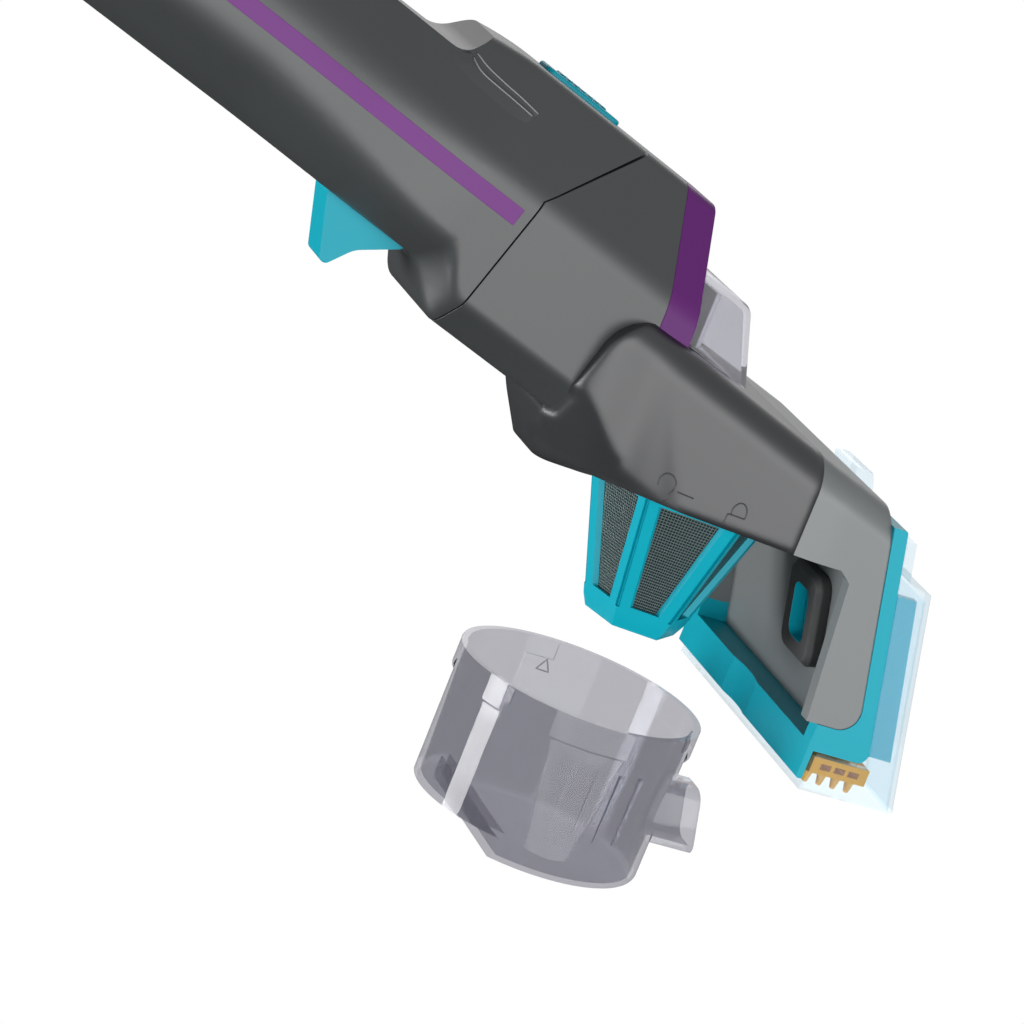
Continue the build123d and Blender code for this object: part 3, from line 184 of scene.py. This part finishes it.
def woven(name, wire, hole_shade, pitch_mm):
    """Woven wire cloth round the filter's axis: bright wires at an even pitch over holes coloured dark, a
    painted shade for what is seen through them.
    """
    material, tree, shader = new_material(name)
    place = node(tree, "ShaderNodeTexCoord").outputs["Object"]
    from_axis = node(tree, "ShaderNodeVectorMath", {0: place}, operation="SUBTRACT")
    from_axis.inputs[1].default_value = (BIN_REACH, 0, 0)
    parts = node(tree, "ShaderNodeSeparateXYZ", {"Vector": from_axis.outputs["Vector"]})
    turn = node(tree, "ShaderNodeMath", {0: parts.outputs["Y"], 1: parts.outputs["X"]}, operation="ARCTAN2")
    waves = []
    around, along = CLOTH_RADIUS_MM / pitch_mm, 1 / (pitch_mm * MM)
    for source, rate in ((turn.outputs["Value"], around), (parts.outputs["Z"], along)):
        angle = node(tree, "ShaderNodeMath", {0: source}, operation="MULTIPLY")
        angle.inputs[1].default_value = 2 * pi * rate
        wave = node(tree, "ShaderNodeMath", {0: angle.outputs["Value"]}, operation="SINE")
        waves.append(wave.outputs["Value"])
    top = node(tree, "ShaderNodeMath", {0: waves[0], 1: waves[1]}, operation="MAXIMUM")
    share = node(tree, "ShaderNodeMapRange", {"Value": top.outputs["Value"]})
    share.inputs["From Min"].default_value = 0.55
    share.inputs["From Max"].default_value = 0.9
    paint = node(tree, "ShaderNodeMix", {"Factor": share.outputs["Result"]}, data_type="RGBA")
    # The hole colour is painted shade: a dark colour for the shade seen through the openings.
    paint.inputs["A"].default_value = linear(hole_shade)
    paint.inputs["B"].default_value = linear(wire)
    bump = node(tree, "ShaderNodeBump", {"Height": share.outputs["Result"]}, Strength=0.6, Distance=0.1 * MM)
    tree.links.new(paint.outputs["Result"], shader.inputs["Base Color"])
    tree.links.new(bump.outputs["Normal"], shader.inputs["Normal"])
    shader.inputs["Metallic"].default_value = 0.6
    shader.inputs["Roughness"].default_value = 0.4
    return material


# %% The palette
grey = moulded("satin_grey_plastic", "#333637", rough=0.44, shine=0.68)
dark = moulded("satin_dark_plastic", "#242628", rough=0.42, shine=0.75, soft_mm=4)
frame_grey = moulded("satin_frame_plastic", "#6b6f70", rough=0.42, shine=0.6)
# The wing ridges are the shell's own plastic; this lighter grey is a painted highlight for the light they
# catch.
ridge_highlight_grey = moulded("ridge_painted_highlight_plastic", "#7f8284", rough=0.35)
purple = moulded("satin_purple_plastic", "#70377e", rough=0.4, shine=0.15)
plum = moulded("deep_purple_plastic", "#5c2569", rough=0.4, shine=0.15)
teal = moulded("satin_teal_plastic", "#059db0", rough=0.38, shine=0.2)
white = moulded("white_reflector_plastic", "#efeff0", rough=0.3)
black = moulded("matt_black_plastic", "#1c1d1e", rough=0.55)
orange = moulded("soft_orange_rubber", "#f5a32c", rough=0.6, grain_mm=0.4)
rubber = moulded("black_rubber", "#373838", rough=0.65, grain_mm=0.4)
board = moulded("green_circuit_board", "#1f6a45", rough=0.4)
wrap = moulded("blue_cell_wrap", "#2f5d9e", rough=0.35)
felt = moulded("white_filter_felt", "#e9e8e2", rough=0.9, grain_mm=0.6, depth_mm=0.05)
ink = moulded("dark_mark_ink", "#2f3132", rough=0.5)
clear_nozzle = clear("clear_nozzle_plastic", "#e2eff5")
clear_bin = clear("clear_bin_plastic", "#b4b4ba")
clear_lens = clear("clear_lens_plastic", "#cdcdd3", rough=0.12)
steel = metal("brushed_steel", "#b9bbbd")
iron = metal("dark_sintered_iron", "#55565a", rough=0.5)
cast = metal("cast_aluminium", "#c9cacc", rough=0.45)
# The dark hole colour #0e2a2e is painted shade in the cloth's holes.
wire_cloth = woven("woven_steel_cloth", "#6f7a78", "#0e2a2e", 0.9)
print("materials", len(bpy.data.materials))

# %% [markdown]
# ## Finishing the CAD nodes
#
# The CAD meshes come as separate triangles. A weld joins them, a small bevel rounds each hard edge so that
# it catches light, and weighted normals keep the flat faces flat.

# %% Smooth and paint every node
BEVEL = 0.35 * MM


def finish_node(name, material, bevel=BEVEL):
    """Smooths one CAD node with modifiers and gives it its material."""
    piece = nodes[name]
    piece.data.materials.clear()
    piece.data.materials.append(material)
    piece.data.polygons.foreach_set("use_smooth", [True] * len(piece.data.polygons))
    weld = piece.modifiers.new("join", "WELD")
    weld.merge_threshold = 0.002 * MM
    if bevel:
        edge = piece.modifiers.new("edges", "BEVEL")
        edge.width = bevel
        edge.segments = 2
        edge.limit_method = "ANGLE"
        edge.angle_limit = radians(35)
        normals = piece.modifiers.new("normals", "WEIGHTED_NORMAL")
        normals.keep_sharp = True
    else:
        crease = piece.modifiers.new("creases", "EDGE_SPLIT")
        crease.split_angle = radians(35)


painted = {
    "handle_lower_shell": grey, "handle_upper_shell": grey, "tail_cap": grey, "motor_housing": grey,
    "neck_housing": dark, "nozzle_frame": frame_grey, "nose_plate": dark, "bin_lock_ring": dark,
    "stripe_right": purple, "stripe_left": purple, "nose_ring": plum,
    "trigger": teal, "power_button": teal, "nozzle_base": teal, "filter_cage": teal,
    "nozzle_cover": clear_nozzle, "dust_bin": clear_bin, "lamp_lens": clear_lens,
    "rubber_comb": orange, "port_gasket": rubber, "bin_seal": rubber, "filter_seal": rubber,
    "filter_mesh": wire_cloth, "trigger_pin": steel, "trigger_spring": steel, "housing_screws": steel,
    "rear_bearing": steel, "front_bearing": steel, "motor_shaft": steel, "motor_can": iron,
    "motor_magnets": iron, "rotor_core": iron, "motor_end_bell": cast,
    "lamp_board": white, "lamp_leds": white, "impeller": white, "pleated_filter": felt,
    "charge_contact": steel,
    "trigger_switch": black, "button_switch": black, "battery_holder": black, "charge_jack": black,
    "joint_spigot": black, "motor_mount_rear": black, "motor_mount_front": black, "fan_shroud": black,
    "button_board": board, "control_board": board, "battery_cells": wrap,
}
plain_edges = {"dust_bin", "lamp_lens", "nozzle_cover", "handle_lower_shell", "handle_upper_shell",
               "tail_cap"}
for name, material in painted.items():
    finish_node(name, material, 0 if name in plain_edges else BEVEL)
print("painted", len(painted), "of", len(nodes))

# %% [markdown]
# The gasket's lip is black rubber, and the tunnel behind it is lined in the nozzle's teal. The faces of the
# tunnel are those that run along it and look at its axis.

# %% Teal lining of the suction port
PORT_MIDDLE = on_front(44, -17, -23.5)
PORT_AXIS = Vector((0.97, 0, 0.24))
gasket = nodes["port_gasket"].data
gasket.materials.append(teal)
lined = 0
for face in gasket.polygons:
    inward = (PORT_MIDDLE - face.center).dot(face.normal) > 0
    if inward and abs(face.normal.dot(PORT_AXIS)) < 0.3:
        face.material_index = 1
        lined += 1
print("lined faces", lined)

# %% [markdown]
# ## Small moulded details
#
# Lines that lie on a curved shell are drawn as points in a side view and dropped onto the shell with a
# ray. A round bead then follows the points.

# %% Helpers for details on a surface
def landed(name, start, direction, lift=0.0):
    """Place where a ray first meets a CAD node, lifted off the surface, or None when it misses."""
    hit, place, normal, face = nodes[name].ray_cast(start, direction)
    return place + normal * lift * MM if hit else None


def new_piece(name, points, faces, material, body):
    """Mesh piece from points and faces, smoothed, painted and fixed to a body."""
    mesh = bpy.data.meshes.new(name)
    mesh.from_pydata([tuple(p) for p in points], [], faces)
    mesh.materials.append(material)
    mesh.polygons.foreach_set("use_smooth", [True] * len(mesh.polygons))
    mesh.update()
    piece = bpy.data.objects.new(name, mesh)
    bpy.context.collection.objects.link(piece)
    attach(piece, body)
    return piece


def bead(path, radius_mm, closed=False, sides=8):
    """Points and faces of a round bead along a path of places."""
    points, faces = [], []
    count = len(path)
    for k, place in enumerate(path):
        before = path[k - 1] if closed or k else place
        after = path[(k + 1) % count] if closed or k < count - 1 else place
        along = (after - before).normalized()
        across = along.cross(Vector((0, 1, 0))).normalized()
        other = along.cross(across)
        for j in range(sides):
            turn = 2 * pi * j / sides
            points.append(place + (across * cos(turn) + other * sin(turn)) * radius_mm * MM)
    for k in range(count if closed else count - 1):
        for j in range(sides):
            here, there = k * sides, (k + 1) % count * sides
            following = (j + 1) % sides
            faces.append((here + j, here + following, there + following, there + j))
    if not closed:
        faces.append(tuple(range(sides))[::-1])
        faces.append(tuple(range((count - 1) * sides, count * sides)))
    return points, faces


def smooth_path(corners, steps, closed=False):
    """Curve through corner points, eased between them, as plain tuples."""
    count = len(corners)
    path = []
    for k in range(count if closed else count - 1):
        around = [corners[(k + d) % count] if closed else corners[min(max(k + d, 0), count - 1)]
                  for d in (-1, 0, 1, 2)]
        for j in range(steps):
            u = j / steps
            path.append(tuple(0.5 * (2 * b + (c - a) * u + (2 * a - 5 * b + 4 * c - d) * u * u
                                     + (3 * b - a - 3 * c + d) * u ** 3)
                              for a, b, c, d in zip(*around)))
    if not closed:
        path.append(tuple(corners[-1]))
    return path


# %% [markdown]
# ### Thumb wings
#
# A shallow wing is moulded in each upper facet beside the thumb's dip. It swells from a soft crease to
# a ridge, falls into a narrow groove and ends at a second ridge. Each line is given by its corners along
# the handle, and the rows between the lines are lifted off the shell by a fraction of a millimetre.

# %% Thumb wings on both upper facets
CREASE = ((52.0, 22.4), (58.0, 22.2), (65.5, 21.2), (72.7, 21.0), (80.1, 20.7), (85.8, 21.7))
LOW_RIDGE = ((61.9, 28.0), (65.4, 25.7), (68.6, 24.9), (74.1, 24.7), (80.1, 24.5), (86.7, 24.2))
HIGH_RIDGE = ((62.6, 28.9), (65.6, 27.8), (68.8, 27.1), (74.8, 26.6), (81.2, 26.3), (88.1, 25.6))
WING_ROWS = ((0, 0.0, -0.08), (0, 0.5, 0.2), (0, 0.9, 0.4), (0, 1.0, 0.45), (1, 0.25, 0.12), (1, 0.75, 0.12),
             (1, 1.0, 0.4), (1, 1.3, -0.08))
for side_name, out in (("right", -1), ("left", 1)):
    lines = [smooth_path(corners, 6) for corners in (CREASE, LOW_RIDGE, HIGH_RIDGE)]
    columns = len(lines[0])
    points = []
    for line, share, lift in WING_ROWS:
        for k in range(columns):
            fade = min(1, k / 6) if k < columns - 1 else 0
            (s0, w0), (s1, w1) = lines[line][k], lines[line + 1][k]
            start = on_handle(s0 + (s1 - s0) * share, out * 60, w0 + (w1 - w0) * share)
            height = -0.08 + (lift + 0.08) * fade
            place = landed("handle_upper_shell", start, Vector((0, -out, 0)), height)
            points.append(place or points[-1])
    faces = []
    for row in range(len(WING_ROWS) - 1):
        for k in range(columns - 1):
            here = row * columns + k
            face = (here, here + 1, here + columns + 1, here + columns)
            faces.append(face if out < 0 else face[::-1])
    wing = new_piece("wing_" + side_name, points, faces, grey, "main")
    # Each ridge bead gets the lighter grey, a painted highlight along the ridge.
    for ridge_name, row in (("low", 3), ("high", 6)):
        path = points[row * columns + 3:(row + 1) * columns - 1]
        ridge_points, ridge_faces = bead(path, 0.25)
        new_piece("wing_ridge_" + ridge_name + "_" + side_name, ridge_points, ridge_faces, ridge_highlight_grey, "main")
    print(wing.name, len(wing.data.vertices))

# %% [markdown]
# ### Button ribs
#
# Rounded ribs across the power button give the thumb a hold.

# %% Ribs on the power button
RIB_COUNT = 7
RIB_PITCH = 2.6
RIB_SIDES = 8
RIB_SECTIONS = ((-3.4, 0.25), (-3.2, 0.55), (3.2, 0.55), (3.4, 0.25))
BUTTON_MIDDLE = 101.4
BUTTON_TOP = 37.85
FORWARD = Vector((cos(TILT), 0, -sin(TILT)))
UPWARD = Vector((sin(TILT), 0, cos(TILT)))
points, faces = [], []
for k in range(RIB_COUNT):
    first = len(points)
    s = BUTTON_MIDDLE + (k - (RIB_COUNT - 1) / 2) * RIB_PITCH
    for y, radius in RIB_SECTIONS:
        for j in range(RIB_SIDES):
            turn = 2 * pi * j / RIB_SIDES
            out = FORWARD * cos(turn) + UPWARD * sin(turn)
            points.append(on_handle(s, y, BUTTON_TOP) + out * radius * MM)
    for n in range(len(RIB_SECTIONS) - 1):
        here, there = first + n * RIB_SIDES, first + (n + 1) * RIB_SIDES
        for j in range(RIB_SIDES):
            following = (j + 1) % RIB_SIDES
            faces.append((here + j, there + j, there + following, here + following))
    faces.append(tuple(range(first, first + RIB_SIDES)))
    faces.append(tuple(range(len(points) - RIB_SIDES, len(points)))[::-1])
ribs = new_piece("button_ribs", points, faces, teal, "power_button")
print(ribs.name, RIB_COUNT)

# %% [markdown]
# ### Lock marks
#
# Two small padlock marks on the neck show the bin's unlocked and locked positions.

# %% Lock marks on the neck's right flank
MARKS = {
    "unlocked": (((-22.8, 1.4), (-22.5, 3.6), (-21.7, 5.2)),
                 ((-26.2, 5.6), (-26.4, 7.4), (-25.2, 9.3), (-23.3, 9.4), (-21.7, 7.8), (-21.7, 5.4)),
                 ((-20.4, 5.4), (-18, 5.3), (-15.6, 5.2))),
    "locked": (((-5.4, 1.0), (-5.4, 3.0), (-5.2, 4.6)),
               ((-5.2, 4.6), (-2.8, 4.7), (-0.4, 4.7)),
               ((-4.4, 4.8), (-4.4, 6.8), (-3.2, 8.6), (-1.6, 8.6), (-0.5, 7.0), (-0.4, 4.8))),
}
for mark, strokes in MARKS.items():
    points, faces = [], []
    for stroke in strokes:
        path = [landed("neck_housing", on_front(x, -80, z), Vector((0, 1, 0)), 0.02)
                for x, z in smooth_path(stroke, 4)]
        more_points, more_faces = bead([p for p in path if p], 0.22, sides=6)
        faces += [tuple(v + len(points) for v in face) for face in more_faces]
        points += more_points
    made = new_piece("lock_mark_" + mark, points, faces, ink, "main")
    print(made.name, len(made.data.vertices))

# %% [markdown]
# ### Bin mark
#
# A small raised triangle inside the bin's far wall shows where its rim meets the ring.

# %% Triangle inside the dust bin
corners = [on_front(x, y, z) for x, y, z in ((-3.8, 35.7, -74.9), (-2.0, 35.4, -78.7), (-6.1, 35.7, -78.6))]
path = [corners[k] + (corners[(k + 1) % 3] - corners[k]) * j / 6 for k in range(3) for j in range(6)]
points, faces = bead(path, 0.25, closed=True)
mark = new_piece("bin_mark", points, faces, clear_bin, "dust_bin")
print(mark.name, len(mark.data.vertices))

# %% [markdown]
# ## Floor, light and camera
#
# The camera stands where the photograph's straight edges put it, and is rolled with it. The machine is
# held in the air, so the floor lies well below it. A wide soft box in front lights the flanks, a small one
# on the left reaches into the bay, and a weak one behind marks the upper edges. The camera and the clear
# parts see a white room, while the plain parts see a dim one.

# %% Floor and backdrop
FLOOR_SIZE = 12
FLOOR_DROP = 0.5


def seen_by_eye(tree):
    """Socket that is 1 for what the camera sees directly or through a clear part."""
    ray = node(tree, "ShaderNodeLightPath")
    either = {0: ray.outputs["Is Camera Ray"], 1: ray.outputs["Is Transmission Ray"]}
    return node(tree, "ShaderNodeMath", either, operation="MAXIMUM").outputs["Value"]


low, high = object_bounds()
bpy.ops.mesh.primitive_plane_add(size=FLOOR_SIZE, location=(0.1, 0, low[2] - FLOOR_DROP))
floor = bpy.context.object
floor.name = "floor"
floor_paint, floor_tree, floor_shader = new_material("pale_floor")
floor_seen = seen_by_eye(floor_tree)
floor_white = node(floor_tree, "ShaderNodeEmission", Strength=1.0)
floor_look = node(floor_tree, "ShaderNodeMixShader", {0: floor_seen, 1: floor_shader.outputs["BSDF"],
                                                      2: floor_white.outputs["Emission"]})
floor_tree.links.new(floor_look.outputs["Shader"], floor_tree.nodes["Material Output"].inputs["Surface"])
floor_shader.inputs["Base Color"].default_value = linear("#4c4c4c")
floor_shader.inputs["Roughness"].default_value = 0.8
floor.data.materials.append(floor_paint)

# %% World and lights
DIM_ROOM = 0.2
WHITE_ROOM = 1.0
MIRRORED_ROOM = 0.4
world = bpy.data.worlds.new("studio")
bpy.context.scene.world = world
world.use_nodes = True
world_tree = world.node_tree
sky = world_tree.nodes["Background"]
room = node(world_tree, "ShaderNodeMapRange", {"Value": seen_by_eye(world_tree)})
room.inputs["To Min"].default_value = DIM_ROOM
room.inputs["To Max"].default_value = WHITE_ROOM
glossy = node(world_tree, "ShaderNodeLightPath").outputs["Is Glossy Ray"]
sheen = node(world_tree, "ShaderNodeMath", {0: glossy, 2: room.outputs["Result"]}, operation="MULTIPLY_ADD")
sheen.inputs[1].default_value = MIRRORED_ROOM
world_tree.links.new(sheen.outputs["Value"], sky.inputs["Strength"])
sky.inputs["Color"].default_value = (1, 1, 1, 1)


def soft_box(name, target, direction, distance, width, height, power):
    """Rectangular area light that looks at a point from a direction."""
    data = bpy.data.lights.new(name, "AREA")
    data.shape = "RECTANGLE"
    data.size = width
    data.size_y = height
    data.energy = power
    lamp = bpy.data.objects.new(name, data)
    bpy.context.collection.objects.link(lamp)
    away = Vector(direction).normalized()
    lamp.location = target + away * distance
    lamp.rotation_euler = away.to_track_quat("Z", "Y").to_euler()
    return lamp


middle = Vector((0.12, 0, -0.09))
soft_box("key_box", middle, (0.08, -0.98, -0.12), 1.6, 2.4, 1.3, 42)
soft_box("left_box", middle, (-0.97, 0.12, -0.2), 1.6, 0.6, 0.6, 26)
soft_box("back_box", middle, (0.3, 0.9, 0.5), 1.8, 1.6, 1.0, 8)

# %% Camera
YAW = radians(22.8)
ELEVATION = radians(13.4)
ROLL = radians(22.0)
DISTANCE = 1.3
target = Vector((0.13677, 0, -0.11943))
toward = Vector((-cos(ELEVATION) * sin(YAW), -cos(ELEVATION) * cos(YAW), sin(ELEVATION)))
side = Vector((cos(YAW), -sin(YAW), 0))
upright = Vector((sin(YAW) * sin(ELEVATION), cos(YAW) * sin(ELEVATION), cos(ELEVATION)))
right = side * cos(ROLL) + upright * sin(ROLL)
up = upright * cos(ROLL) - side * sin(ROLL)
camera_data = bpy.data.cameras.new("photo_camera")
camera_data.sensor_width = 36
camera_data.lens = 157.6
camera = bpy.data.objects.new("photo_camera", camera_data)
bpy.context.collection.objects.link(camera)
turn = Matrix((right, up, toward)).transposed().to_4x4()
camera.matrix_world = Matrix.Translation(target + toward * DISTANCE) @ turn
bpy.context.scene.camera = camera
bpy.context.scene.view_settings.view_transform = "Standard"
